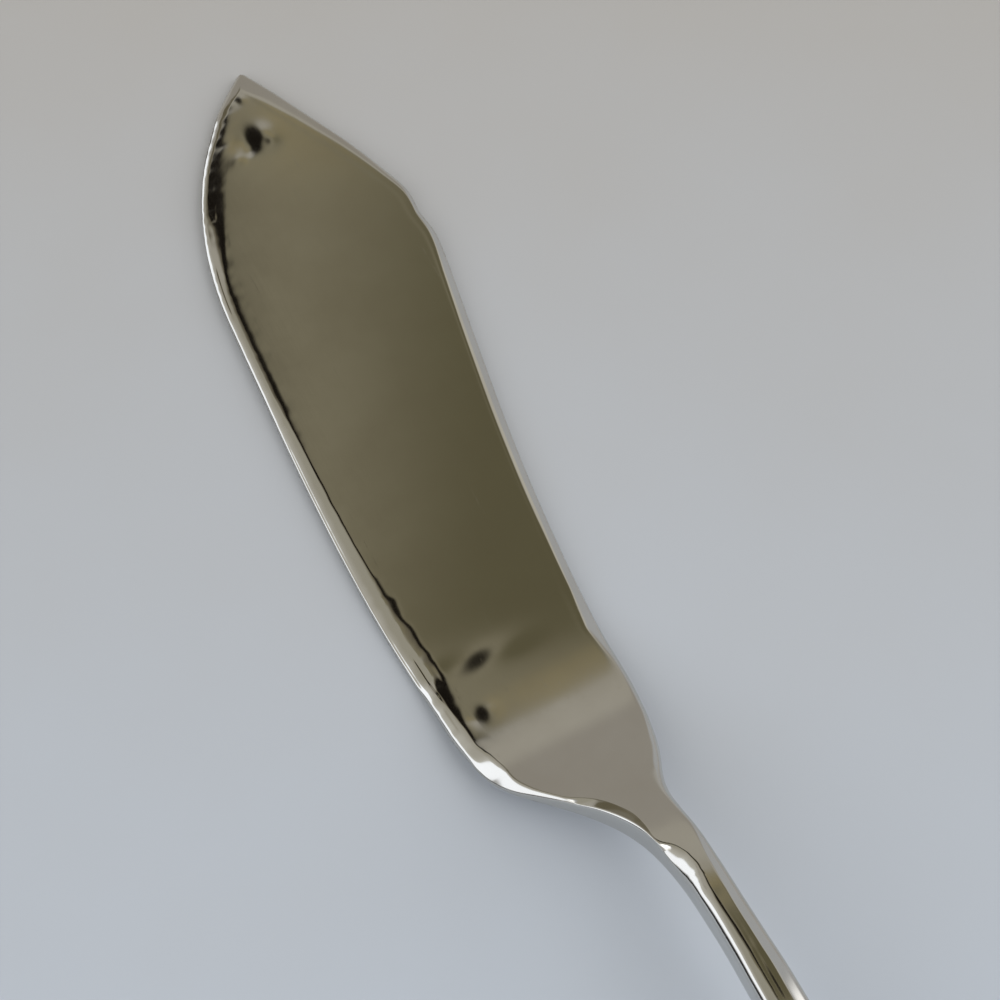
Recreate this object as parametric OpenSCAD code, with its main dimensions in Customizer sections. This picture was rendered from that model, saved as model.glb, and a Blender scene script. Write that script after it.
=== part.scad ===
// Butter knife in one piece of polished stainless steel: a flat clip-pointed blade with a bevelled rim,
// a neck that lifts and narrows from the blade's heel, and a slim shank that widens into a flat handle.
// The knife lies along X with its tip at minus X, its cutting edge at minus Y and its underside on z = 0.
// Blade, neck and handle are the zones of one forging, and meet face to face.

/* [Blade] */
// Length of the blade from its tip to its heel
blade_len = 82; // [60:1:110]
// Distance in plan from the handle's centre line to the lowest point of the cutting edge
belly_depth = 12.25; // [9:0.05:16]
// Distance in plan from the handle's centre line to the top of the hump on the back
back_height = 10.85; // [7:0.05:14]
// Distance in plan from the handle's centre line up to the tip
tip_height = 1.8; // [0:0.05:3]
// Radius of the blunted tip in plan
tip_r = 0.3; // [0.15:0.05:0.6]
// Thickness of the blade's flat
blade_t = 1.4; // [1.2:0.1:2.5]
// Thickness at the tip
tip_t = 1.3; // [0.95:0.05:1.35]
// Thickness left at the cutting edge, outside its bevel
belly_edge_t = 0.8; // [0.4:0.05:0.85]
// Thickness left at the back, outside its bevel
back_edge_t = 0.85; // [0.5:0.05:0.9]
// Width of the bevel all round the flat
bevel_w = 0.9; // [0.5:0.05:1.2]
// Extra width of the back's bevel at the tip
tip_bevel_w = 1.2; // [0:0.1:2]

/* [Neck] */
// Length of the neck, from the heel to the straight shank
neck_len = 24; // [18:1:36]
// Height that the neck lifts the shank off the table
neck_rise = 7.9; // [4:0.1:12]
// Length of blade before the heel that already curves upward
heel_lead = 14; // [8:0.5:20]
// Length past the neck over which the shank still rises
crest_lead = 1.5; // [0:0.5:10]
// Width of the shank where it leaves the neck
shank_w = 3.25; // [3:0.05:6]
// Thickness of the shank
shank_t = 3.6; // [2.6:0.1:4.5]
// Height of the shank's side below its bevel
shank_edge_t = 2.9; // [2:0.1:3.2]
// How far the shank's sides lean in towards the top
shank_draft = 0.3; // [0.1:0.05:0.4]

/* [Handle] */
// Length of the handle, from the straight shank to its round end
handle_len = 74; // [60:1:110]
// Widest part of the handle
handle_w = 13; // [8:0.5:18]
// Thickness of the handle where it is widest
handle_t = 2.4; // [2:0.1:3.5]
// Height of the handle's side below its bevel
handle_edge_t = 1.5; // [1.2:0.1:1.9]
// Length of the handle's round end
end_len = 7.5; // [5:0.5:12]

/* [Edges] */
// Radius of the blade's lower rim
blade_under_r = 0.2; // [0.1:0.05:0.3]
// Radius of the shank's and handle's lower rim
shank_under_r = 0.7; // [0.3:0.05:0.9]
// How far the blade's rim leans in towards the top
blade_draft = 0.06; // [0.02:0.01:0.1]
// Depth ground off the two flats that the knife rests on
ground_off = 0.04; // [0.02:0.01:0.08]

/* [Smoothness] */
// Slices between two neighbouring points of the outline
slices = 4; // [2:1:6]
// Slices along the handle
handle_slices = 26; // [16:1:40]
// Slices round the handle's end
end_slices = 10; // [6:1:16]

/* [Hidden] */
steel = [0.62, 0.61, 0.58];

// Outline of the cutting edge: share of the blade's length, share of the way from the tip down to the belly
belly_shares = [[0, 0], [0.03, 0.183], [0.055, 0.312], [0.08, 0.415], [0.11, 0.534], [0.157, 0.678],
    [0.207, 0.791], [0.26, 0.875], [0.31, 0.922], [0.37, 0.944], [0.44, 0.963], [0.5, 0.977], [0.61, 0.996],
    [0.695, 1], [0.77, 0.99], [0.81, 0.976], [0.85, 0.957], [0.88, 0.94], [0.905, 0.931], [0.93, 0.922],
    [0.955, 0.898], [0.98, 0.864], [1, 0.817]];
// Outline of the back, with its clip, shoulder, notch and hump: the same shares, up to the hump
back_shares = [[0, 0], [0.042, 0.18], [0.084, 0.351], [0.12, 0.497], [0.162, 0.667], [0.2, 0.798],
    [0.23, 0.891], [0.25, 0.95], [0.268, 0.983], [0.284, 0.978], [0.3, 0.962], [0.317, 0.984], [0.333, 1],
    [0.35, 0.992], [0.374, 0.961], [0.43, 0.872], [0.517, 0.729], [0.62, 0.568], [0.7, 0.462],
    [0.766, 0.394], [0.85, 0.325], [0.9, 0.295], [0.963, 0.265], [1, 0.213]];
// Sides of the neck: share of the neck's length, share of the heel's width still left
neck_belly_shares = [[0.05, 0.903], [0.1, 0.768], [0.15, 0.629], [0.2, 0.491], [0.25, 0.365],
    [0.3, 0.257], [0.35, 0.17], [0.42, 0.084], [0.5, 0.029], [0.6, -0.008], [0.75, -0.018], [0.9, -0.011],
    [1, 0]];
neck_back_shares = [[0.06, 0.867], [0.11, 0.73], [0.16, 0.544], [0.21, 0.297], [0.26, 0.068],
    [0.31, -0.06], [0.36, -0.078], [0.42, -0.057], [0.5, -0.01], [0.6, 0], [0.75, -0.025], [0.9, -0.03],
    [1, 0]];
// The lift in two bends: share of the way from the lift's start to the crest, share of the full lift
lift_shares = [[0, 0], [0.1, 0.033], [0.2, 0.111], [0.3, 0.222], [0.36, 0.318], [0.41, 0.402],
    [0.46, 0.437], [0.53, 0.463], [0.57, 0.512], [0.63, 0.617], [0.71, 0.734], [0.8, 0.851], [0.88, 0.935],
    [0.95, 0.984], [1, 1]];

// Where the thickness changes, counted from the tip
tip_taper_share = 0.17;
thicken_start_share = 0.042;
thicken_end_share = 0.354;
handle_thin_share = 0.6;
// Half the step over which an outline's slope is measured
slope_share = 0.0005;
// Height of a side's widest line as a share of its full height
widest_share = 0.55;
// Share of the width that each of the ring's outer points may reach inward at most
reach_shares = [0, 0.08, 0.42];
// Angles of the points round the lower rim
rim_angles = [0, 30, 60, 90];

neck_end = blade_len + neck_len;
total_len = neck_end + handle_len;
end_start = total_len - end_len;
lift_start = blade_len - heel_lead;
lift_end = neck_end + crest_lead;
thicken_start = blade_len + thicken_start_share * neck_len;
thicken_end = blade_len + thicken_end_share * neck_len;
handle_thin_end = neck_end + handle_thin_share * handle_len;
slope_step = slope_share * blade_len;
// The whole knife is moved so that its box is centred on the origin
shift = [-total_len / 2, (belly_depth - max(back_height, handle_w / 2)) / 2, 0];

function clamp_unit(v) = min(1, max(0, v));
// Goes from 0 to 1 with level ends
function ease(v) = let (w = clamp_unit(v)) w * w * (3 - 2 * w);
// Changes from a to b between two places along the knife
function fade(u, from, to, a, b) = a + (b - a) * ease((u - from) / (to - from));

// A smooth curve through a list of points, as height over length
function rise_over(p, i) = (p[i + 1][1] - p[i][1]) / (p[i + 1][0] - p[i][0]);
function run_of(p, i) = p[i + 1][0] - p[i][0];
function tangent(p, i) =
    i == 0 ? rise_over(p, 0) :
    i == len(p) - 1 ? rise_over(p, i - 1) :
    (rise_over(p, i - 1) * run_of(p, i) + rise_over(p, i) * run_of(p, i - 1)) / (run_of(p, i) + run_of(p, i - 1));
function span_at(p, u, i = 0) = i >= len(p) - 2 || u < p[i + 1][0] ? i : span_at(p, u, i + 1);
function curve(p, u) =
    let (i = span_at(p, u), run = run_of(p, i), t = (u - p[i][0]) / run)
    (2 * t ^ 3 - 3 * t ^ 2 + 1) * p[i][1] + (t ^ 3 - 2 * t ^ 2 + t) * run * tangent(p, i)
    + (3 * t ^ 2 - 2 * t ^ 3) * p[i + 1][1] + (t ^ 3 - t ^ 2) * run * tangent(p, i + 1);

// Outline points in millimetres from the shares: side is -1 for the cutting edge and 1 for the back
function blade_points(shares, side, far) =
    let (near = tip_height + side * tip_r)
    [for (s = shares) [s[0] * blade_len, near + s[1] * (far - near)]];
function neck_points(shares, side, heel) =
    let (half = side * shank_w / 2)
    [for (s = shares) [blade_len + s[0] * neck_len, half + s[1] * (heel - half)]];
belly_blade = blade_points(belly_shares, -1, -belly_depth);
back_blade = blade_points(back_shares, 1, back_height);
belly_pts = concat(belly_blade, neck_points(neck_belly_shares, -1, belly_blade[len(belly_blade) - 1][1]));
back_pts = concat(back_blade, neck_points(neck_back_shares, 1, back_blade[len(back_blade) - 1][1]));

// Half the handle's width without its round end, and with it
function handle_body(u) = fade(u, neck_end, end_start, shank_w, handle_w) / 2;
function end_share(u) = clamp_unit((u - end_start) / end_len);
function handle_half(u) = tip_r + (handle_body(u) - tip_r) * sqrt(1 - end_share(u) ^ 2);
function belly_at(u) = u < neck_end ? curve(belly_pts, u) : -handle_half(u);
function back_at(u) = u < neck_end ? curve(back_pts, u) : handle_half(u);

// How much longer an outline's slant is than its length along the knife
function slant(lo, hi) = sqrt(1 + ((hi - lo) / (2 * slope_step)) ^ 2);
function belly_slant(u) = slant(belly_at(u - slope_step), belly_at(u + slope_step));
function back_slant(u) = slant(back_at(u - slope_step), back_at(u + slope_step));

// Height of the underside, thickness, and the sizes of the rim, along the knife
function rise_at(u) = u < lift_end ? curve(lift_shares, clamp_unit((u - lift_start) / (lift_end - lift_start)))
    : fade(u, lift_end, end_start, 1, 0);
function under_at(u) = (neck_rise + ground_off) * rise_at(u) - ground_off;
function thick_at(u) = fade(u, 0, tip_taper_share * blade_len, tip_t, blade_t)
    + fade(u, thicken_start, thicken_end, 0, shank_t - blade_t)
    + fade(u, neck_end, handle_thin_end, 0, handle_t - shank_t);
function neck_fade(u, a, b) = fade(u, thicken_start, thicken_end, a, b);
function edge_at(u, blade_edge) = neck_fade(u, blade_edge, shank_edge_t)
    + fade(u, neck_end, handle_thin_end, 0, handle_edge_t - shank_edge_t);
function draft_at(u) = neck_fade(u, blade_draft, shank_draft);
function rim_r_at(u) = min(neck_fade(u, blade_under_r, shank_under_r),
    widest_share * edge_at(u, belly_edge_t));
function back_bevel_at(u) = bevel_w + fade(u, 0, tip_taper_share * blade_len, tip_bevel_w, 0);

// Height of the top face at a distance in from the outline
function top_height(u, dist, edge, bevel) =
    let (draft = draft_at(u), widest = widest_share * edge, t = thick_at(u))
    dist < draft ? widest + (edge - widest) * dist / draft
    : edge + (t - edge) * clamp_unit((dist - draft) / bevel);

// Distance in from the outline at a place across the round end, where the rim turns with the outline
function end_dist(u, y) =
    let (half = handle_body(u)) half * (1 - norm([y / half, end_share(u)]));
function belly_dist(u, y) = u > end_start ? max(0, end_dist(u, y)) : (y - belly_at(u)) / belly_slant(u);
function back_dist(u, y) = u > end_start ? max(0, end_dist(u, y)) : (back_at(u) - y) / back_slant(u);

// Place across the knife of a point that lies dist in from the outline
function end_inset(u, dist) =
    let (half = handle_body(u)) handle_half(u)
    - half * sqrt(max(0, (1 - dist / half) ^ 2 - end_share(u) ^ 2));
function inset(u, dist, side_slant) = u > end_start ? end_inset(u, dist) : dist * side_slant;
function inset_capped(u, dist, side_slant, share) =
    min(inset(u, dist, side_slant), share * (back_at(u) - belly_at(u)));

function top_point(u, y) = [u, y, max(0, under_at(u)) + min(
    top_height(u, belly_dist(u, y), edge_at(u, belly_edge_t), bevel_w),
    top_height(u, back_dist(u, y), edge_at(u, back_edge_t), back_bevel_at(u)))];
function rim_point(u, y, side, a) =
    let (r = rim_r_at(u), base = under_at(u), reach = min(r, reach_shares[2] * (back_at(u) - belly_at(u))))
    [u, y - side * reach * (1 - cos(a)), base + r * (1 - sin(a))];

// One closed slice across the knife: over the top from the cutting edge to the back, and back below
function ring(u) =
    let (lo = belly_at(u), hi = back_at(u), sl = belly_slant(u), sh = back_slant(u), draft = draft_at(u))
    concat(
        [for (k = [0:2]) let (dist = [0, draft, draft + bevel_w][k])
            top_point(u, lo + inset_capped(u, dist, sl, reach_shares[k]))],
        [top_point(u, (lo + hi) / 2)],
        [for (k = [2:-1:0]) let (dist = [0, draft, draft + back_bevel_at(u)][k])
            top_point(u, hi - inset_capped(u, dist, sh, reach_shares[k]))],
        [for (a = rim_angles) rim_point(u, hi, 1, a)],
        [for (k = [len(rim_angles) - 1:-1:0]) rim_point(u, lo, -1, rim_angles[k])]);

// Places of the slices: each stretch of the back's outline is cut alike, the round end by equal angles
function cut_alike(p) = [for (i = [0:len(p) - 2], k = [1:slices]) p[i][0] + run_of(p, i) * k / slices];
outline_slices = concat([0], cut_alike(back_pts));
blade_slices = [for (u = outline_slices) if (u <= blade_len + slope_step) u];
neck_slices = [for (u = outline_slices) if (u >= blade_len - slope_step) u];
shank_slices = [for (k = [0:handle_slices]) neck_end + (end_start - neck_end) * k / handle_slices];
round_slices = [for (k = [1:end_slices]) end_start + end_len * sin(90 * k / end_slices)];

// A closed skin through a row of slices
module skin(places) {
    rings = [for (u = places) ring(u)];
    count = len(rings[0]);
    last = len(rings) - 1;
    faces = concat(
        [[for (k = [0:count - 1]) k]],
        [for (i = [0:last - 1], k = [0:count - 1])
            let (a = i * count + k, b = i * count + (k + 1) % count)
            each [[a, a + count, b + count], [a, b + count, b]]],
        [[for (k = [count - 1:-1:0]) last * count + k]]);
    translate(shift) polyhedron(points = [for (r = rings) each r], faces = faces, convexity = 6);
}

// Grinds the underside flat at z = 0, over the whole knife's length and width
module ground_flat() {
    size = [total_len, belly_depth + max(back_height, handle_w), neck_rise];
    difference() {
        children();
        translate([-size[0], -size[1], -size[2]]) cube([2 * size[0], 2 * size[1], size[2]]);
    }
}

module blade() {
    color(steel) ground_flat() skin(blade_slices);
}

module neck() {
    color(steel) skin(neck_slices);
}

module handle() {
    color(steel) ground_flat() skin(concat(shank_slices, round_slices));
}

blade();
neck();
handle();
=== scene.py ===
"""Looks of the butter knife: one forging of polished steel on a pale table, seen from the photo's camera.

The mesh follows the loft of the CAD solids with a finer section: closed rings across the knife, with
rounded rims, bevels and creases, that run on without a step from the blade through the neck to the handle.
Lengths are in metres. u is the place along the knife, counted from the tip, and y is counted from the
handle's centre line.
"""

import math

import bpy
import numpy as np
from mathutils import Matrix, Vector


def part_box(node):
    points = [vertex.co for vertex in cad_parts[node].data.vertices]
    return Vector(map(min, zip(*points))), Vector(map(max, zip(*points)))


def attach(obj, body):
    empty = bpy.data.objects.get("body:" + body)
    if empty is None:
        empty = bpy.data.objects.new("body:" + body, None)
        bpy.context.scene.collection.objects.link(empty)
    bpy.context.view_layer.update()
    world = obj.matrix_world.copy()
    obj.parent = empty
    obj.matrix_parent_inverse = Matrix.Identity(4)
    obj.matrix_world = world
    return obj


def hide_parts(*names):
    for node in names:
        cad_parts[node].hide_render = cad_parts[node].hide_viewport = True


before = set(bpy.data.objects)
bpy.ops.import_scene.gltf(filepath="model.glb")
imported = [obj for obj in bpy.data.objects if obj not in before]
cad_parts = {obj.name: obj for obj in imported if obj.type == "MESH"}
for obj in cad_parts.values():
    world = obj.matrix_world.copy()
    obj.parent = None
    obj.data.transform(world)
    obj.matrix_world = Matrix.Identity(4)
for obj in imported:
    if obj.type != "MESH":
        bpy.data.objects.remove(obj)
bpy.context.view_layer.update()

# Sizes, from the frame where it has them
blade_low, blade_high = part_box("blade")
_, neck_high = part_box("neck")
handle_low, handle_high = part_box("handle")

tip_x = blade_low.x
blade_len = blade_high.x - tip_x
neck_end = neck_high.x - tip_x
total_len = handle_high.x - tip_x
neck_len = neck_end - blade_len
handle_len = total_len - neck_end
axis_y = (handle_low.y + handle_high.y) / 2
belly_depth = axis_y - blade_low.y
back_height = blade_high.y - axis_y
handle_w = handle_high.y - handle_low.y

tip_height = 0.0018
tip_r = 0.0003
tip_taper = 0.005
tip_drop = 0.00022
blade_t = 0.0014
shank_w = 0.00325
shank_t = 0.0036
handle_t = 0.0024
neck_rise = 0.0079
heel_lead = 0.014
crest_lead = 0.0015
end_len = 0.0075
blade_under_r = 0.0002
shank_under_r = 0.0007

# Outlines: share of the zone's length, share of the way across. They are the CAD's own.
belly_shares = [(0, 0), (0.03, 0.183), (0.055, 0.312), (0.08, 0.415), (0.11, 0.534), (0.157, 0.678),
                (0.207, 0.791), (0.26, 0.875), (0.31, 0.922), (0.37, 0.944), (0.44, 0.963),
                (0.5, 0.977), (0.61, 0.996), (0.695, 1), (0.77, 0.99), (0.81, 0.976), (0.85, 0.957),
                (0.88, 0.94), (0.905, 0.931), (0.93, 0.922), (0.955, 0.898), (0.98, 0.864), (1, 0.817)]
back_shares = [(0, 0), (0.042, 0.18), (0.084, 0.351), (0.12, 0.497), (0.162, 0.667), (0.2, 0.798),
               (0.23, 0.891), (0.25, 0.95), (0.268, 0.983), (0.284, 0.978), (0.3, 0.962),
               (0.317, 0.984), (0.333, 1), (0.35, 0.992), (0.374, 0.961), (0.43, 0.872), (0.517, 0.729),
               (0.62, 0.568), (0.7, 0.462), (0.766, 0.394), (0.85, 0.325), (0.9, 0.295), (0.963, 0.265),
               (1, 0.213)]
neck_belly_shares = [(0.05, 0.903), (0.1, 0.768), (0.15, 0.629), (0.2, 0.491), (0.25, 0.365),
                     (0.3, 0.257), (0.35, 0.17), (0.42, 0.084), (0.5, 0.029), (0.6, -0.008),
                     (0.75, -0.018), (0.9, -0.011), (1, 0)]
neck_back_shares = [(0.06, 0.867), (0.11, 0.73), (0.16, 0.544), (0.21, 0.297), (0.26, 0.068),
                    (0.31, -0.06), (0.36, -0.078), (0.42, -0.057), (0.5, -0.01), (0.6, 0),
                    (0.75, -0.025), (0.9, -0.03), (1, 0)]
lift_shares = [(0, 0), (0.1, 0.033), (0.2, 0.111), (0.3, 0.222), (0.36, 0.318), (0.41, 0.402),
               (0.46, 0.437), (0.53, 0.463), (0.57, 0.512), (0.63, 0.617), (0.71, 0.734), (0.8, 0.851),
               (0.88, 0.935), (0.95, 0.984), (1, 1)]
thicken_start_share = 0.042
thicken_end_share = 0.354
handle_thin_share = 0.6

end_start = total_len - end_len
lift_start = blade_len - heel_lead
lift_end = neck_end + crest_lead
thicken_start = blade_len + thicken_start_share * neck_len
thicken_end = blade_len + thicken_end_share * neck_len
thin_end = neck_end + handle_thin_share * handle_len

# Curves along the knife
fine_step = 0.00005
outline_blur = 0.0005
lift_blur = 0.0012


def ease(v):
    """From 0 to 1 with level ends."""
    w = np.clip(v, 0, 1)
    return w * w * (3 - 2 * w)


def fade(u, start, end, a, b):
    """From a to b between two places along the knife."""
    return a + (b - a) * ease((u - start) / (end - start))


def curve(points, u):
    """A smooth curve through a list of points, as height over length."""
    p = np.array(points, float)
    run = np.diff(p[:, 0])
    rise = np.diff(p[:, 1]) / run
    slope = np.empty(len(p))
    slope[0], slope[-1] = rise[0], rise[-1]
    slope[1:-1] = (rise[:-1] * run[1:] + rise[1:] * run[:-1]) / (run[1:] + run[:-1])
    i = np.clip(np.searchsorted(p[:, 0], u) - 1, 0, len(run) - 1)
    t = (u - p[i, 0]) / run[i]
    return ((2 * t**3 - 3 * t**2 + 1) * p[i, 1] + (t**3 - 2 * t**2 + t) * run[i] * slope[i]
            + (3 * t**2 - 2 * t**3) * p[i + 1, 1] + (t**3 - t**2) * run[i] * slope[i + 1])


def blurred(values, radius):
    """Takes the small kinks out of a curve on the fine grid; its ends keep their slope."""
    reach = int(4 * radius / fine_step)
    weights = np.exp(-0.5 * (np.arange(-reach, reach + 1) * fine_step / radius)**2)
    before = 2 * values[0] - values[reach:0:-1]
    after = 2 * values[-1] - values[-2:-reach - 2:-1]
    return np.convolve(np.concatenate([before, values, after]), weights / weights.sum(), "valid")


def outline_points(blade_shares, neck_shares, side, far):
    """Points of one side's outline: side is -1 for the cutting edge and 1 for the back."""
    near = tip_height + side * tip_r
    blade = [(s * blade_len, near + w * (far - near)) for s, w in blade_shares]
    half = side * shank_w / 2
    return blade + [(blade_len + s * neck_len, half + w * (blade[-1][1] - half)) for s, w in neck_shares]


along = np.arange(0, total_len + fine_step, fine_step)
on_blade = along < neck_end
handle_half = fade(along, neck_end, end_start, shank_w, handle_w) / 2
belly_points = outline_points(belly_shares, neck_belly_shares, -1, -belly_depth)
back_points = outline_points(back_shares, neck_back_shares, 1, back_height)
belly_line = blurred(np.where(on_blade, curve(belly_points, along), -handle_half), outline_blur)
back_line = blurred(np.where(on_blade, curve(back_points, along), handle_half), outline_blur)
belly_slant = np.hypot(1, np.gradient(belly_line, fine_step))
back_slant = np.hypot(1, np.gradient(back_line, fine_step))

lift_share = np.clip((along - lift_start) / (lift_end - lift_start), 0, 1)
fall_line = fade(along, lift_end, end_start, 1, 0)
rise_line = np.where(along < lift_end, curve(lift_shares, lift_share), fall_line)
under_line = np.maximum(0, blurred(neck_rise * rise_line, lift_blur))
thick_line = blurred(fade(along, -tip_taper, tip_taper, blade_t - tip_drop, blade_t)
                     + fade(along, thicken_start, thicken_end, 0, shank_t - blade_t)
                     + fade(along, neck_end, thin_end, 0, handle_t - shank_t), lift_blur)
rim_line = fade(along, thicken_start, thicken_end, blade_under_r, shank_under_r)


def at(line, u):
    """Value of a curve on the fine grid at any place."""
    return np.interp(u, along, line)


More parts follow.
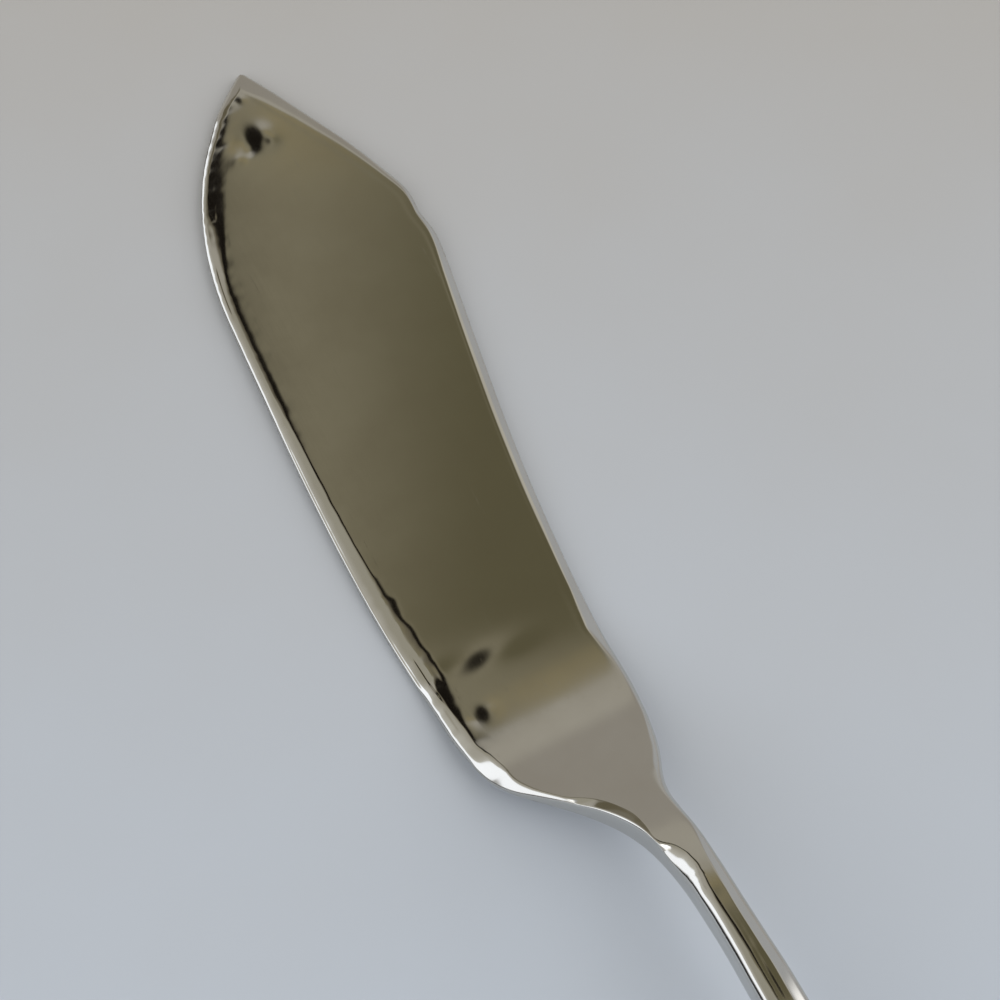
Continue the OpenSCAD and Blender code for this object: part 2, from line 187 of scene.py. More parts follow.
# Sections across the knife. The rim of each side: place in mm from the tip, then pairs of distance in from
# the edge in mm and slope of the top face there in degrees. Before the first pair the face turns over from
# the wall.
MM = 0.001
wall_tilt = 84
belly_rim_rows = [
    (0,    (0.05, 50), (0.12, 36), (0.20, 26), (0.45, 18), (1.00, 13), (1.25, 8), (1.60, 1.5), (2.00, 0)),
    (2,    (0.05, 50), (0.12, 36), (0.20, 26), (0.45, 18), (1.00, 13), (1.25, 8), (1.60, 1.5), (2.00, 0)),
    (4,    (0.05, 50), (0.12, 34), (0.30, 24), (0.50, 20), (0.65, 9.5), (0.92, 10.5), (1.20, 2.2), (1.60, 0)),
    (6,    (0.05, 50), (0.10, 34), (0.32, 25), (0.60, 17), (0.86, 12), (1.00, 6), (1.40, 2.2), (1.90, 0)),
    (8,    (0.05, 50), (0.08, 34), (0.28, 25), (0.60, 17), (0.80, 9), (0.92, 3.8), (1.66, 2.1), (2.30, 0.6)),
    (10,   (0.05, 50), (0.08, 36), (0.28, 24), (0.52, 17), (0.74, 9), (0.86, 3.8), (1.70, 2.1), (2.40, 0.7)),
    (12,   (0.05, 50), (0.08, 36), (0.26, 24), (0.42, 18), (0.64, 12), (0.82, 3.8), (1.75, 2.2), (2.50, 0.9)),
    (14,   (0.05, 50), (0.08, 38), (0.24, 26), (0.34, 17), (0.60, 12), (0.78, 4.2), (2.05, 2.4), (2.55, 0.6)),
    (16,   (0.08, 50), (0.12, 38), (0.26, 26), (0.40, 16), (0.58, 9.5), (0.95, 5), (2.20, 2.6), (2.55, 0.5)),
    (18,   (0.08, 50), (0.12, 38), (0.30, 27), (0.66, 9), (1.02, 14), (1.28, 8), (2.00, 3), (2.35, 0.2)),
    (20,   (0.06, 50), (0.12, 38), (0.34, 27), (0.60, 17), (1.05, 14), (1.35, 8), (1.76, 6.4), (2.05, 0.4)),
    (23,   (0.05, 52), (0.12, 40), (0.30, 29), (0.55, 20), (1.10, 15), (1.36, 8), (1.55, 1.2), (1.90, 0)),
    (26,   (0.05, 50), (0.11, 42), (0.26, 31), (0.48, 22), (0.78, 15), (1.04, 8.8), (1.54, 1.6), (1.95, 0)),
    (30,   (0.05, 50), (0.12, 42), (0.25, 31), (0.48, 23), (0.76, 14), (0.95, 8.8), (1.46, 2), (1.80, 0)),
    (34,   (0.05, 50), (0.12, 42), (0.25, 32), (0.50, 24), (0.80, 14), (0.93, 8.8), (1.50, 2), (1.78, 0)),
    (38,   (0.05, 50), (0.12, 42), (0.25, 32), (0.50, 25), (0.80, 16), (0.98, 7.5), (1.56, 2.2), (1.80, 0)),
    (42,   (0.05, 52), (0.08, 43), (0.20, 32), (0.50, 26), (0.95, 16), (1.15, 8.8), (1.32, 1.6), (2.00, 0.4)),
    (46,   (0.05, 52), (0.07, 43), (0.16, 32), (0.50, 26), (0.98, 15), (1.34, 8.6), (1.38, 0.9), (1.90, 0)),
    (54,   (0.05, 52), (0.07, 44), (0.15, 33), (0.50, 26), (1.08, 15), (1.48, 8.6), (1.52, 0.9), (1.90, 0)),
    (58,   (0.05, 52), (0.09, 43), (0.15, 33), (0.50, 26), (1.15, 15), (1.58, 8.6), (1.62, 1.2), (2.00, 0)),
    (60,   (0.05, 52), (0.10, 43), (0.15, 33), (0.50, 27), (1.22, 15), (1.50, 8.8), (1.80, 3), (2.20, 0.4)),
    (62,   (0.05, 52), (0.10, 43), (0.16, 34), (0.50, 27), (1.28, 15), (1.44, 9), (1.68, 5.2), (2.42, 1.2)),
    (66,   (0.05, 52), (0.10, 43), (0.16, 34), (0.50, 27), (1.28, 15), (1.42, 8.8), (1.92, 6.6), (2.45, 1.4)),
    (70,   (0.04, 52), (0.07, 44), (0.18, 34), (0.50, 27), (1.42, 15), (1.62, 8.5), (2.18, 6.4), (2.58, 2)),
    (72,   (0.09, 49), (0.14, 42), (0.26, 33), (0.60, 26), (0.84, 20), (0.94, 4.5), (1.90, 2.6), (2.30, 0.4)),
    (74,   (0.09, 49), (0.14, 42), (0.28, 32), (0.65, 27), (0.98, 20), (1.18, 5), (1.70, 2.4), (2.05, 0.2)),
    (76,   (0.11, 47), (0.16, 41), (0.32, 30), (0.80, 26), (1.10, 20), (1.38, 8.8), (1.60, 1.6), (1.90, 0)),
    (77.6, (0.11, 47), (0.15, 41), (0.30, 30), (0.80, 26), (1.05, 18), (1.18, 8.8), (1.24, 1), (1.60, 0)),
    (78.6, (0.10, 47), (0.14, 41), (0.45, 31), (1.05, 28), (1.25, 18), (1.35, 9), (1.38, 0.6), (1.70, 0)),
    (79.2, (0.04, 49), (0.12, 42), (0.60, 38), (1.12, 35), (1.50, 17), (1.56, 12), (1.59, 0), (1.80, 0)),
    (80.8, (0.04, 52), (0.12, 44), (0.60, 41), (1.15, 37), (1.42, 19), (1.48, 12), (1.51, 0), (1.80, 0)),
    (82.3, (0.05, 56), (0.12, 47), (0.45, 44.5), (0.72, 41), (0.90, 20), (0.94, 12), (0.97, 0), (1.20, 0)),
    (84,   (0.06, 60), (0.14, 54), (0.28, 50), (0.41, 46), (0.51, 20), (0.55, 12), (0.58, 0), (0.80, 0)),
    (86,   (0.06, 62), (0.12, 56), (0.20, 51), (0.28, 47), (0.36, 20), (0.40, 12), (0.43, 0), (0.60, 0)),
    (87,   (0.08, 62), (0.12, 54), (0.16, 40), (0.20, 32), (0.80, 26), (0.86, 10), (0.92, 3), (0.98, 0)),
    (88,   (0.10, 60), (0.13, 52), (0.20, 43), (0.24, 14), (0.90, 9), (0.94, 22), (0.98, 8), (1.04, 0)),
    (90,   (0.10, 60), (0.13, 52), (0.26, 43), (0.30, 13), (0.85, 8), (0.89, 20), (0.93, 8), (1.00, 0)),
    (91.5, (0.10, 60), (0.13, 52), (0.22, 43), (0.26, 13), (0.50, 8), (0.54, 18), (0.58, 8), (0.65, 0)),
    (92.6, (0.06, 64), (0.08, 56), (0.10, 40), (0.14, 20), (0.20, 10), (0.26, 6), (0.32, 2), (0.40, 0)),
    (93.4, (0.06, 64), (0.08, 56), (0.10, 40), (0.14, 24), (0.20, 12), (0.30, 8), (0.33, 0), (0.44, 0)),
    (94.0, (0.06, 58), (0.11, 46), (0.30, 40), (0.66, 34), (0.90, 24), (1.00, 13), (1.03, 0), (1.20, 0)),
    (95.2, (0.08, 58), (0.14, 46), (0.34, 41), (0.92, 34), (1.25, 27), (1.36, 13), (1.39, 0), (1.60, 0)),
    (96.5, (0.11, 57), (0.19, 47), (0.36, 40), (0.72, 33), (1.10, 26), (1.40, 13), (1.43, 0), (1.70, 0)),
    (97.3, (0.12, 55), (0.20, 47), (0.34, 39), (0.56, 31), (0.90, 24), (1.30, 13), (1.33, 0), (1.60, 0)),
    (98,   (0.12, 53), (0.21, 47), (0.32, 40), (0.46, 32), (0.75, 23), (1.10, 14), (1.17, 7), (1.25, 0)),
    (99.6, (0.12, 52), (0.22, 47), (0.33, 42), (0.45, 35), (0.68, 26), (0.92, 12), (1.00, 8), (1.20, 1)),
    (102,  (0.11, 50.5), (0.22, 47), (0.31, 43), (0.44, 36), (0.60, 25), (0.95, 10), (1.18, 4.5), (1.32, 0)),
    (107,  (0.12, 51), (0.23, 48), (0.32, 43), (0.41, 37), (0.56, 25), (0.94, 14), (1.06, 8), (1.36, 2)),
    (112,  (0.12, 51), (0.23, 48), (0.32, 43), (0.41, 37), (0.56, 25), (0.94, 14), (1.06, 8), (1.36, 2)),
    (140,  (0.12, 50), (0.30, 44), (0.60, 34), (1.00, 22), (1.30, 15), (1.60, 8), (1.80, 3), (2.10, 0)),
    (180,  (0.12, 50), (0.30, 44), (0.60, 34), (0.90, 22), (1.10, 15), (1.30, 8), (1.50, 3), (1.80, 0))]
back_rim_rows = [
    (0,    (0.05, 40), (0.25, 16), (0.45, 11), (0.90, 9), (2.25, 6), (2.45, 3), (2.60, 2)),
    (4,    (0.05, 40), (0.25, 16), (0.45, 11), (0.90, 9), (1.70, 5.5), (2.12, -1.8), (2.55, -0.3)),
    (8,    (0.05, 40), (0.25, 18), (0.45, 12), (0.80, 9), (1.27, 5.5), (1.90, -2.4), (2.50, -0.2)),
    (12,   (0.05, 42), (0.22, 20), (0.45, 13), (0.72, 9), (1.06, 5.5), (1.70, -2.6), (2.40, -0.1)),
    (16,   (0.05, 44), (0.20, 24), (0.45, 14), (0.66, 9), (0.86, 5.5), (1.55, -3), (2.20, 0)),
    (20,   (0.05, 46), (0.16, 30), (0.38, 18), (0.58, 10), (0.74, 5.5), (1.26, -3.8), (1.80, 0)),
    (24,   (0.05, 46), (0.15, 34), (0.30, 22), (0.42, 12), (0.53, 6.5), (0.90, -5), (1.50, 0)),
    (28,   (0.05, 46), (0.15, 34), (0.38, 22), (0.58, 14), (0.72, 9), (1.04, -6), (1.45, 0)),
    (32,   (0.06, 44), (0.20, 32), (0.45, 22), (0.70, 15), (0.92, 11), (1.12, -5.8), (1.40, 0)),
    (38,   (0.06, 44), (0.20, 32), (0.45, 22), (0.72, 15), (1.02, 12.5), (1.14, -5), (1.35, 0)),
    (48,   (0.06, 44), (0.20, 32), (0.46, 22), (0.74, 15), (1.05, 12.5), (1.17, -5), (1.38, 0)),
    (60,   (0.06, 44), (0.20, 32), (0.42, 22), (0.68, 15), (0.98, 12.5), (1.10, -5), (1.35, 0)),
    (68,   (0.06, 44), (0.20, 32), (0.48, 22), (1.03, 12), (1.15, -5), (1.50, -3.5), (2.00, 0)),
    (72,   (0.06, 44), (0.20, 32), (0.60, 22), (1.14, 12), (1.26, 4), (1.60, -1), (2.00, 0)),
    (76,   (0.08, 50), (0.25, 40), (0.38, 20), (0.48, 8), (0.62, 3), (1.00, 1), (1.50, 0)),
    (82,   (0.08, 52), (0.24, 42), (0.38, 22), (0.48, 8), (0.64, 3), (1.00, 1), (1.50, 0)),
    (84.5, (0.08, 56), (0.22, 42), (0.45, 24), (0.80, 14), (1.20, 7), (1.60, 2.5), (2.00, 0)),
    (87,   (0.08, 58), (0.26, 42), (0.50, 27), (0.95, 16), (1.40, 8), (1.80, 2), (2.20, 0)),
    (90,   (0.15, 56), (0.34, 42), (0.50, 25), (0.64, 12), (0.80, 4), (1.00, 1), (1.40, 0)),
    (93,   (0.10, 50), (0.22, 40), (0.34, 20), (0.43, 7), (0.56, 2), (0.80, 0.5), (1.00, 0)),
    (96,   (0.10, 48), (0.20, 40), (0.40, 29), (0.80, 20), (0.92, 6), (1.00, -0.5), (1.15, 0)),
    (100,  (0.10, 48), (0.20, 40), (0.50, 30), (1.00, 22), (1.10, 6), (1.17, -2), (1.35, 0)),
    (112,  (0.10, 48), (0.20, 40), (0.50, 30), (1.22, 22), (1.32, 6), (1.40, -2), (1.60, 0)),
    (140,  (0.12, 50), (0.45, 36), (0.75, 26), (1.20, 14), (1.60, 5), (1.80, 2), (2.00, 0)),
    (180,  (0.12, 50), (0.45, 36), (0.75, 26), (1.10, 14), (1.40, 5), (1.60, 2), (1.80, 0))]
# Fine lines ground into the cutting edge's bevel: from and to in mm from the tip, distance in from the edge
# at both ends, half width, and the slope that they add
belly_lines = [
    (41, 60, 0.30, 0.33, 0.035, 6), (64, 73, 0.32, 0.33, 0.035, 7), (41, 73, 0.21, 0.21, 0.03, -5),
    (21, 29, 0.68, 0.58, 0.055, -14), (14.6, 17, 1.48, 1.48, 0.07, 6),
    (66.8, 73, 0.98, 0.93, 0.06, -18), (71, 75, 1.10, 1.05, 0.06, 5), (69, 71.5, 2.0, 1.95, 0.06, 4),
    (73, 76, 0.74, 0.80, 0.05, -12), (11, 14, 1.25, 1.35, 0.05, 3), (98.5, 140, 1.55, 1.62, 0.08, 6),
]
# Shallow dents: place and middle in mm, reach along and across, turn and greatest tilt in degrees
spots = [(8.9, -0.3, 1.15, 1.15, -27, 4.8), (9.9, 0.9, 0.45, 0.5, 20, 2.5),
         (10.6, -2.2, 0.9, 0.45, -60, -2.2), (3.6, 0.2, 0.4, 0.4, 0, 2.8),
         (70.4, -5.9, 0.8, 2.5, 0, 3.2), (75.3, -8.0, 0.6, 0.7, 0, 3.2)]

# Unevenness of the cutting edge's bevel: place in mm from the tip, degrees
wear_rows = [(0, 0.1), (5, 0.3), (19, 0.35), (30, 0.22), (40, 0.22), (45, 0.12), (57, 0.15), (62, 0.35),
             (75, 0.35), (79, 0.1), (97, 0.1), (101, 0.2), (112, 0.2), (120, 0.1), (180, 0.1)]
wear_seed, wear_waves, wear_turn = 5, 24, math.radians(60)
wear_lengths = (0.6 * MM, 3.5 * MM)
wear_from, wear_fade = 0.6 * MM, 0.5 * MM

# Points of a section: distances in from each edge, then how many lie between them, down a wall, round a
# lower edge and under the knife
edge_steps = np.linspace(0, 0.16, 11)
bevel_steps = np.arange(0.19, 1.3, 0.035)
inner_steps = np.linspace(1.3, 2.6, 16)
rim_steps = np.concatenate([edge_steps, bevel_steps, inner_steps]) * MM
middle_count, wall_count, rim_count, floor_count = 41, 3, 7, 7
rim_blur = 0.0003
line_fade_share = 0.25
ridge_blend = 0.00003
reach_share = 0.485
rim_wall_share = 0.45
rim_half_share = 0.4
least_square = 1e-6


def rim_tables(rows):
    """Knots of the rim for the whole knife on the fine grid: distance in (mm) and slope (degrees)."""
    place = np.array([r[0] for r in rows], float) * MM
    knots = np.array([[(0, wall_tilt), *r[1:]] for r in rows], float)
    out = np.empty((knots.shape[1], 2, len(along)))
    for k in range(knots.shape[1]):
        for j in range(2):
            out[k, j] = blurred(np.interp(along, place, knots[:, k, j]), rim_blur)
    return out


belly_table = rim_tables(belly_rim_rows)
back_table = rim_tables(back_rim_rows)


def unevenness(u):
    """Slight wander of the hand-ground bevel's slope, in degrees: places by steps in from the edge."""
    chance = np.random.default_rng(wear_seed)
    wander = np.zeros((len(u), len(rim_steps)))
    for _ in range(wear_waves):
        wave = chance.uniform(*wear_lengths)
        turn = chance.uniform(-wear_turn, wear_turn)
        start = chance.uniform(0, 1)
        run = u[:, None] * math.cos(turn) + rim_steps * math.sin(turn)
        wander += np.sin(2 * math.pi * (run / wave + start)) * math.sqrt(2 / wear_waves)
    place, amount = np.array(wear_rows).T
    strength = np.interp(u / MM, place, amount)[:, None]
    return wander * strength * ease((rim_steps - wear_from) / wear_fade)


def rim_profile(table, lines, wear, u, top):
    """Distance in from the outline and height of the rim's points, place by place, from wall to flat."""
    dist = [at(d, u) * MM for d, _ in table]
    slope = [at(s, u) for _, s in table]
    tilt = np.array([np.interp(rim_steps, d, s) for d, s in zip(np.stack(dist, 1), np.stack(slope, 1))])
    for start, end, d_start, d_end, half_wide, extra in lines:
        share = np.clip((u / MM - start) / (end - start), 0, 1)
        fade_ends = ease(share / line_fade_share) * ease((1 - share) / line_fade_share)
        d = (d_start + (d_end - d_start) * share) * MM
        away = (rim_steps[None, :] - d[:, None]) / (half_wide * MM)
        tilt = tilt + extra * fade_ends[:, None] * np.exp(-0.5 * away**2)
    t = np.tan(np.radians(tilt + wear))
    height = np.cumsum((t[:, 1:] + t[:, :-1]) / 2 * np.diff(rim_steps), axis=1)
    height = np.concatenate([0 * height[:, :1], height], axis=1)
    return rim_steps + 0 * height, top[:, None] - height[:, -1:] + height


def height_at(inward, height, dist):
    """Height of the top face at a distance in from the outline, place by place."""
    return np.array([np.interp(d, x, z) for d, x, z in zip(dist, inward, height)])


def soft_min(a, b, blend):
    """The lower of two heights, with the crease between them rounded."""
    h = np.clip(0.5 + (b - a) / (2 * blend), 0, 1)
    return b + (a - b) * h - blend * h * (1 - h)


def spot_height(u, y):
    """Shallow dents: each tips the face toward the cutting edge at its middle."""
    z = np.zeros_like(y)
    for place, across, long_r, cross_r, turn, tilt in spots:
        du, dy = u - place * MM, y - across * MM
        c, s = np.cos(np.radians(turn)), np.sin(np.radians(turn))
        lengthwise = (c * du + s * dy) / (long_r * MM)
        crosswise = (c * dy - s * du) / (cross_r * MM)
        z += np.tan(np.radians(tilt)) * dy * np.exp(-0.5 * (lengthwise**2 + crosswise**2))
    return z


def closing(u):
    """Share of the width that is left where the tip and the handle's end are rounded off in plan."""
    near_tip = np.clip(1 - u / tip_r, 0, 1)
    near_end = np.clip((u - end_start) / end_len, 0, 1)
    squares = [np.maximum(least_square, 1 - near**2) for near in (near_tip, near_end)]
    return np.sqrt(squares[0]) * np.sqrt(squares[1])


def top_points(u, lo, hi, close):
    """Points of the top face at a row of places: y, and height over the underside before the dents."""
    middle, half = (lo + hi)[:, None] / 2, (hi - lo)[:, None] / 2
    lo, hi, close = lo[:, None], hi[:, None], close[:, None]
    slant_lo, slant_hi = at(belly_slant, u)[:, None], at(back_slant, u)[:, None]
    top = at(thick_line, u)
    lo_in, lo_up = rim_profile(belly_table, belly_lines, unevenness(u), u, top)
    hi_in, hi_up = rim_profile(back_table, [], 0, u, top)
    caps = reach_share * (hi - lo) * np.linspace(0, 1, len(rim_steps))
    y_lo = lo + np.minimum(lo_in * slant_lo, caps)
    y_hi = hi - np.minimum(hi_in * slant_hi, caps)
    between = np.linspace(0, 1, middle_count + 2)[None, 1:-1]
    y_mid = y_lo[:, -1:] + (y_hi[:, -1:] - y_lo[:, -1:]) * between
    y = np.concatenate([y_lo, y_mid, y_hi[:, ::-1]], axis=1)
    offset = (y - middle) * close
    along_end = np.clip((u - end_start) / end_len, 0, 1)[:, None]
    end_dist = half * (1 - np.minimum(1, np.hypot(offset / half, along_end)))
    dist_lo = np.where(along_end > 0, end_dist, (y - lo) / slant_lo * close)
    dist_hi = np.where(along_end > 0, end_dist, (hi - y) / slant_hi * close)
    height = soft_min(height_at(lo_in, lo_up, dist_lo), height_at(hi_in, hi_up, dist_hi), ridge_blend)
    return middle + offset, height


def side_points(edge_y, corner_z, base, rim, reach, direction):
    """Points down a wall and round its lower edge; direction is 1 for the back, -1 for the cutting edge."""
    wall_share = np.linspace(1, 0, wall_count + 2)[None, 1:-1]
    quarter = np.linspace(0, math.pi / 2, rim_count)[None, :]
    wall_z = rim[:, None] + (corner_z - base - rim)[:, None] * wall_share
    drop = rim[:, None] * (1 - np.sin(quarter))
    inward = reach[:, None] * (1 - np.cos(quarter))
    z = base[:, None] + np.concatenate([wall_z, drop], axis=1)
    y = edge_y[:, None] - direction * np.concatenate([0 * wall_z, inward], axis=1)
    return y, z


def rings(u):
    """Closed sections at a row of places, as an array of places by points by x, y, z."""
    lo, hi, base, close = at(belly_line, u), at(back_line, u), at(under_line, u), closing(u)
    middle, half = (lo + hi) / 2, (hi - lo) / 2
    y_top, height = top_points(u, lo, hi, close)
    z_top = base[:, None] + height + spot_height(u[:, None], y_top)
    rim = np.minimum(at(rim_line, u), rim_wall_share * (z_top[:, 0] - base))
    reach = np.minimum(rim, rim_half_share * half) * close
    back_y, back_z = side_points(middle + half * close, z_top[:, -1], base, rim, reach, 1)
    belly_y, belly_z = side_points(middle - half * close, z_top[:, 0], base, rim, reach, -1)
    under_share = np.linspace(0, 1, floor_count + 2)[None, 1:-1]
    under_y = back_y[:, -1:] + (belly_y[:, -1:] - back_y[:, -1:]) * under_share
    under_z = base[:, None] + 0 * under_y
    y = np.concatenate([y_top, back_y, under_y, belly_y[:, ::-1]], axis=1)
    z = np.concatenate([z_top, back_z, under_z, belly_z[:, ::-1]], axis=1)
    x = tip_x + u[:, None] + 0 * y
    return np.stack([x, y + axis_y, z], axis=-1)


# Where the rings start to lie this far apart: closest at the tip, where the photo shows the most
ring_spacing = [(tip_r, 0.00012), (0.016, 0.00016), (0.034, 0.00025), (0.060, 0.0002), (blade_len, 0.0002),
                (neck_end, 0.0003), (0.12, 0.0007)]
tip_rings, tip_first_turn = 10, 0.03
end_rings, end_turn = 56, math.radians(89.7)
place_digits, least_length = 7, 1e-12


def places():
    """Where the knife is cut into rings: by the spacing, and by equal turns round the tip and the end."""
    tip_round = tip_r * (1 - np.cos(np.linspace(tip_first_turn, math.pi / 2, tip_rings)))
    stops = [start for start, _ in ring_spacing[1:]] + [end_start]
    body = [np.arange(start, stop, step) for (start, step), stop in zip(ring_spacing, stops)]
    end_round = end_start + end_len * np.sin(np.linspace(0, end_turn, end_rings))
    u = np.concatenate([tip_round, *body, end_round, [blade_len, neck_end]])
    return np.unique(u.round(place_digits))


def ring_normals(points):
    """Normals of the rings' points, from their neighbours along and around."""
    around = np.roll(points, -1, axis=1) - np.roll(points, 1, axis=1)
    lengthwise = np.gradient(points, axis=0)
    n = np.cross(lengthwise, around)
    return n / np.maximum(least_length, np.linalg.norm(n, axis=-1, keepdims=True))


def skin(name, points, normals):
    """A closed mesh through a row of rings, flat at both ends, with the whole knife's own normals."""
    places_count, count = points.shape[:2]
    index = np.arange(places_count * count).reshape(places_count, count)
    nxt = np.roll(index, -1, axis=1)
    quads = np.stack([index[:-1], index[1:], nxt[1:], nxt[:-1]], axis=-1).reshape(-1, 4)
    first, last = index[0].tolist(), index[-1, ::-1].tolist()
    mesh = bpy.data.meshes.new(name)
    mesh.from_pydata(points.reshape(-1, 3).tolist(), [], quads.tolist() + [first, last])
    mesh.polygons.foreach_set("use_smooth", [True] * len(mesh.polygons))
    loops = np.empty(len(mesh.loops), int)
    mesh.loops.foreach_get("vertex_index", loops)
    loop_normals = normals.reshape(-1, 3)[loops]
    loop_normals[len(quads) * 4:len(quads) * 4 + count] = (-1, 0, 0)
    loop_normals[len(quads) * 4 + count:] = (1, 0, 0)
    mesh.normals_split_custom_set(loop_normals.tolist())
    piece = bpy.data.objects.new(name, mesh)
    bpy.context.scene.collection.objects.link(piece)
    return piece


# Materials
def new_material(name):
    """A node material with only its Principled shader and output."""
    material = bpy.data.materials.new(name)
    material.use_nodes = True
    return material, material.node_tree, material.node_tree.nodes["Principled BSDF"]


def node(tree, kind, inputs=None, **settings):
    """Adds a node; inputs are set by name or index, or linked where the value is a socket."""
    made = tree.nodes.new(kind)
    for key, value in settings.items():
        setattr(made, key, value)
    for key, value in (inputs or {}).items():
        if isinstance(value, bpy.types.NodeSocket):
            tree.links.new(value, made.inputs[key])
        else:
            made.inputs[key].default_value = value
    return made


def math_node(tree, operation, *values):
    """A Math node's output; its values are numbers or sockets."""
    return node(tree, "ShaderNodeMath", dict(enumerate(values)), operation=operation).outputs[0]


def mapped(tree, value, from_low, from_high, to_low, to_high, smooth=False):
    """A value carried over from one range to another."""
    kind = "SMOOTHSTEP" if smooth else "LINEAR"
    return node(tree, "ShaderNodeMapRange", {0: value, 1: from_low, 2: from_high, 3: to_low, 4: to_high},
                interpolation_type=kind).outputs[0]


def mixed(tree, factor, a, b):
    """A colour between two colours; any of the three may be a socket."""
    return node(tree, "ShaderNodeMix", {0: factor, 6: a, 7: b}, data_type="RGBA").outputs[2]


steel_colour = (0.615, 0.605, 0.575, 1)
steel_warm = (0.58, 0.565, 0.53, 1)
steel_roughness, smear_roughness, polish_roughness, hair_roughness = 0.065, 0.04, 0.02, 0.12
# Streaks: turn in degrees, stretch along them, scale and detail of the noise
polish_streaks = (8, 0.03, 9000, 2)
hair_streaks = [(-24, 0.012, 5200, 1), (52, 0.010, 4300, 1)]
streak_noise, smear_noise = 0.6, 0.55
smear_scale, patch_scale, patch_detail = 160, 420, 3
# Stretch of the noise over which each effect comes up
hair_ranges = [(0.70, 0.76), (0.71, 0.77)]
hair_patches = (0.50, 0.62)
tint_range, smear_range, polish_range = (0.35, 0.7), (0.3, 0.75), (0.35, 0.7)
polish_height, hair_height, patch_height = 0.25, -1.0, 0.8
bump_strength, bump_depth = 0.03, 0.00001


def noise(tree, place, scale, detail, roughness=0.5):
    """A Noise Texture's value."""
    return node(tree, "ShaderNodeTexNoise", {"Vector": place, "Scale": scale, "Detail": detail,
                                             "Roughness": roughness}).outputs["Fac"]


def streaks(tree, place, turn, stretch, scale, detail):
    """Noise drawn out into fine lines that run at an angle to the knife."""
    turned = node(tree, "ShaderNodeMapping", {"Vector": place, "Rotation": (0, 0, math.radians(turn)),
                                              "Scale": (stretch, 1, 1)})
    return noise(tree, turned.outputs[0], scale, detail, streak_noise)


def total(tree, *values):
    """The sum of some values, each a number or a socket."""
    result = values[0]
    for value in values[1:]:
        result = math_node(tree, "ADD", result, value)
    return result


def polished_steel():
    """Mirror-polished stainless steel: fine polishing lines, sparse hairline scratches and faint smears."""
    material, tree, shader = new_material("polished_steel")
    place = node(tree, "ShaderNodeTexCoord").outputs["Object"]
    polish = streaks(tree, place, *polish_streaks)
    smear = noise(tree, place, smear_scale, patch_detail, smear_noise)
    patch = noise(tree, place, patch_scale, patch_detail)
    hairs = [mapped(tree, streaks(tree, place, *streak), low, high, 0, 1)
             for streak, (low, high) in zip(hair_streaks, hair_ranges)]
    hair = math_node(tree, "MULTIPLY", math_node(tree, "MAXIMUM", *hairs),
                     mapped(tree, patch, *hair_patches, 0, 1))

    colour = mixed(tree, mapped(tree, smear, *tint_range, 0, 1), steel_colour, steel_warm)
    tree.links.new(colour, shader.inputs["Base Color"])
    smeared = mapped(tree, smear, *smear_range, steel_roughness, steel_roughness + smear_roughness)
    scratched = math_node(tree, "MULTIPLY", hair, hair_roughness)
    lined = mapped(tree, polish, *polish_range, 0, polish_roughness)
    tree.links.new(total(tree, smeared, scratched, lined), shader.inputs["Roughness"])
    reliefs = [(polish, polish_height), (hair, hair_height), (patch, patch_height)]
    height = total(tree, *[math_node(tree, "MULTIPLY", value, amount) for value, amount in reliefs])
    bump = node(tree, "ShaderNodeBump", {"Strength": bump_strength, "Distance": bump_depth,
                                         "Height": height})
    tree.links.new(bump.outputs[0], shader.inputs["Normal"])
    shader.inputs["Metallic"].default_value = 1.0
    return material


# Painted light and shade on the table top: its colour runs from a darker, warmer tone on the far side to a
# lighter, bluer tone toward the camera, as the light falls across it
table_far_painted_shade = (0.482, 0.467, 0.448, 1)
table_near_painted_light = (0.558, 0.612, 0.692, 1)
table_turn = math.radians(-27)
painted_shade_end, painted_light_end = -0.10, 0.02
cloud_share, cloud_scale, cloud_detail, cloud_range = 0.05, 40, 3, (0.3, 0.7)
table_roughness = 0.6
speck_cells, speck_share, speck_reach, speck_strength = 90, 0.72, 0.02, 0.7
speck_colour = (0.13, 0.12, 0.11, 1)


def pale_table():
    """A satin white table top with painted light and shade in its colour: darker and warmer toward its far
    side, lighter and bluer toward the camera, with a few specks of dust.
    """
    material, tree, shader = new_material("pale_table")
    place = node(tree, "ShaderNodeTexCoord").outputs["Object"]
    turned = node(tree, "ShaderNodeVectorRotate", {"Vector": place, "Angle": -table_turn},
                  rotation_type="Z_AXIS")
    toward = node(tree, "ShaderNodeSeparateXYZ", {0: turned.outputs[0]}).outputs[0]
    cloud = noise(tree, place, cloud_scale, cloud_detail)
    # Share of the painted shade across the view, from the far side's colour to the near side's, with a faint
    # cloud of random tone
    share = math_node(tree, "ADD", mapped(tree, toward, painted_shade_end, painted_light_end, 0, 1),
                      mapped(tree, cloud, *cloud_range, -cloud_share, cloud_share))
    tone = mixed(tree, share, table_far_painted_shade, table_near_painted_light)
    cells = node(tree, "ShaderNodeTexVoronoi", {"Vector": place, "Scale": speck_cells})
    chance = node(tree, "ShaderNodeSeparateColor", {0: cells.outputs["Color"]}).outputs[0]
    reach = mapped(tree, chance, speck_share, 1, 0, speck_reach)
    speck = math_node(tree, "LESS_THAN", cells.outputs["Distance"], reach)
    tone = mixed(tree, math_node(tree, "MULTIPLY", speck, speck_strength), tone, speck_colour)
    tree.links.new(tone, shader.inputs["Base Color"])
    shader.inputs["Roughness"].default_value = table_roughness
    return material


# The knife
u_all = places()
knife_points = rings(u_all)
knife_normals = ring_normals(knife_points)
steel = polished_steel()
zones = {"blade": (0, blade_len), "neck": (blade_len, neck_end), "handle": (neck_end, total_len)}
zone_slack = 1e-6
for zone_name, (zone_start, zone_end) in zones.items():
    inside = (u_all >= zone_start - zone_slack) & (u_all <= zone_end + zone_slack)
    piece = skin("polished_" + zone_name, knife_points[inside], knife_normals[inside])
    piece.data.materials.append(steel)
    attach(piece, "root")
    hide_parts(zone_name)

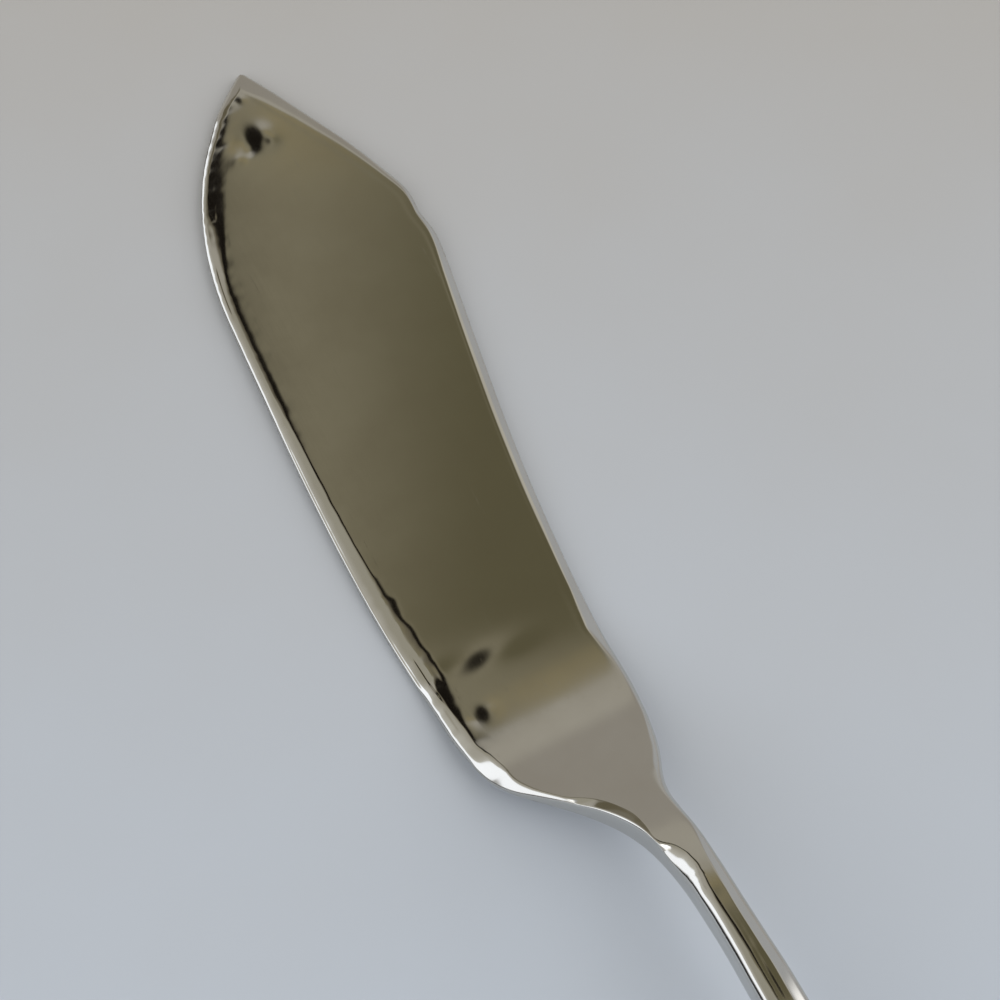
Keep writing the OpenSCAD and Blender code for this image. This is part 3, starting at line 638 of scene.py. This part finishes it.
# Table, light and camera
table_r, table_sides = 2.5, 96
table_mesh = bpy.data.meshes.new("table")
table_turns = np.linspace(0, 2 * math.pi, table_sides, endpoint=False)
table_points = [(table_r * math.cos(turn), table_r * math.sin(turn), 0) for turn in table_turns]
table_mesh.from_pydata(table_points, [], [list(range(table_sides))])
table = bpy.data.objects.new("table", table_mesh)
bpy.context.scene.collection.objects.link(table)
table_mesh.materials.append(pale_table())

# What the steel mirrors and the lamps that light the table: soft-edged patches of the room, each with the
# direction of its middle (degrees from +X toward +Y, and above the horizon), half its width and height, the
# softness of its edge, and its colour. A later patch lies over an earlier one.
background_colour = (0.45, 0.47, 0.50, 1)
room_colour = (0.50, 0.50, 0.50, 1)
room_patches = [
    ("far light", 55, 54, 36, 22, 8, (2.15, 2.15, 2.15)),
    ("far low light", 62, 20, 36, 9, 5, (2.0, 2.0, 2.0)),
    ("near light", -68, 44, 16, 22, 6, (2.3, 2.3, 2.3)),
    ("left side", -138, 52, 44, 26, 5, (0.43, 0.41, 0.34)),
    ("left low", -138, 33, 48, 12, 6, (0.52, 0.50, 0.44)),
    ("wall", 160, 14, 55, 26, 2.5, (0.385, 0.36, 0.318)),
    ("low wall", 150, 2, 45, 13, 4, (0.50, 0.49, 0.46)),
    ("light band", 160, 41.4, 50, 4.8, 2.2, (0.475, 0.45, 0.39)),
    ("back side", 118, 28, 16, 22, 4, (0.50, 0.51, 0.52)),
    ("cream", 120, 47, 20, 8, 3, (0.64, 0.61, 0.53)),
    ("upper", 152, 66, 20, 20, 0.8, (0.278, 0.252, 0.175)),
    ("tan", 161, 48, 3.4, 1.9, 1.4, (0.345, 0.295, 0.175)),
    ("top", 150, 82, 60, 18, 4, (0.24, 0.215, 0.14)),
    ("shade", 140, 64, 20, 16, 6.5, (0.142, 0.127, 0.073)),
    ("dim edge", -174, 60, 8, 22, 7, (0.16, 0.14, 0.10)),
    ("lens dark", -177, 35, 9, 4, 1.5, (0.16, 0.14, 0.09)),
    ("black", 176.6, 63.4, 8.6, 19, 2.4, (0.01, 0.008, 0.006)),
    ("glow", -120, 27, 45, 7, 7, (0.66, 0.65, 0.59)),
    ("window", -120, 19, 45, 8, 1.5, (1.5, 1.56, 1.66)),
    ("dark skirting", -120, 3, 45, 4.5, 1.5, (0.03, 0.03, 0.03)),
]


def patch_mask(tree, direction, elevation, azimuth, middle, half_wide, half_high, soft):
    """1 inside a patch of the room and 0 outside, with a soft edge."""
    turned = node(tree, "ShaderNodeVectorRotate",
                  {"Vector": direction, "Axis": (0, 0, 1), "Angle": math.radians(-azimuth)},
                  rotation_type="AXIS_ANGLE").outputs[0]
    flat = node(tree, "ShaderNodeSeparateXYZ", {0: turned})
    sideways = math_node(tree, "DEGREES", math_node(tree, "ARCTAN2", flat.outputs[1], flat.outputs[0]))
    upward = math_node(tree, "SUBTRACT", elevation, middle)
    masks = [mapped(tree, math_node(tree, "ABSOLUTE", away), half + soft, half - soft, 0, 1, True)
             for away, half in ((sideways, half_wide), (upward, half_high))]
    return math_node(tree, "MULTIPLY", *masks)


def room_world():
    """The room as the steel sees it, and a plain pale background for the camera."""
    world = bpy.data.worlds.new("room")
    world.use_nodes = True
    tree = world.node_tree
    tree.nodes.clear()
    direction = node(tree, "ShaderNodeTexCoord").outputs["Generated"]
    height = node(tree, "ShaderNodeSeparateXYZ", {0: direction}).outputs[2]
    elevation = math_node(tree, "DEGREES", math_node(tree, "ARCSINE", height))
    colour = room_colour
    for _, azimuth, middle, half_wide, half_high, soft, tone in room_patches:
        mask = patch_mask(tree, direction, elevation, azimuth, middle, half_wide, half_high, soft)
        colour = mixed(tree, mask, colour, (*tone, 1))
    seen = node(tree, "ShaderNodeLightPath").outputs["Is Camera Ray"]
    shown = mixed(tree, seen, colour, background_colour)
    out = node(tree, "ShaderNodeOutputWorld")
    tree.links.new(node(tree, "ShaderNodeBackground", {"Color": shown}).outputs[0], out.inputs[0])
    return world


scene = bpy.context.scene
scene.world = room_world()
scene.view_settings.view_transform = "Standard"

# The photo's camera: its direction, its distance and the point of the table in the middle of its view
camera_azimuth = math.radians(63)
camera_elevation = math.radians(61)
camera_distance = 0.1632
camera_fov = math.radians(31)
camera_near = 0.005
aim = Vector((-0.033344, 0.003846, 0))
back = Vector((math.sin(camera_azimuth) * math.cos(camera_elevation),
               -math.cos(camera_azimuth) * math.cos(camera_elevation), math.sin(camera_elevation)))
camera_data = bpy.data.cameras.new("camera")
camera_data.angle = camera_fov
camera_data.clip_start = camera_near
camera = bpy.data.objects.new("camera", camera_data)
turn = back.to_track_quat("Z", "Y").to_matrix().to_4x4()
camera.matrix_world = Matrix.Translation(aim + back * camera_distance) @ turn
scene.collection.objects.link(camera)
scene.camera = camera
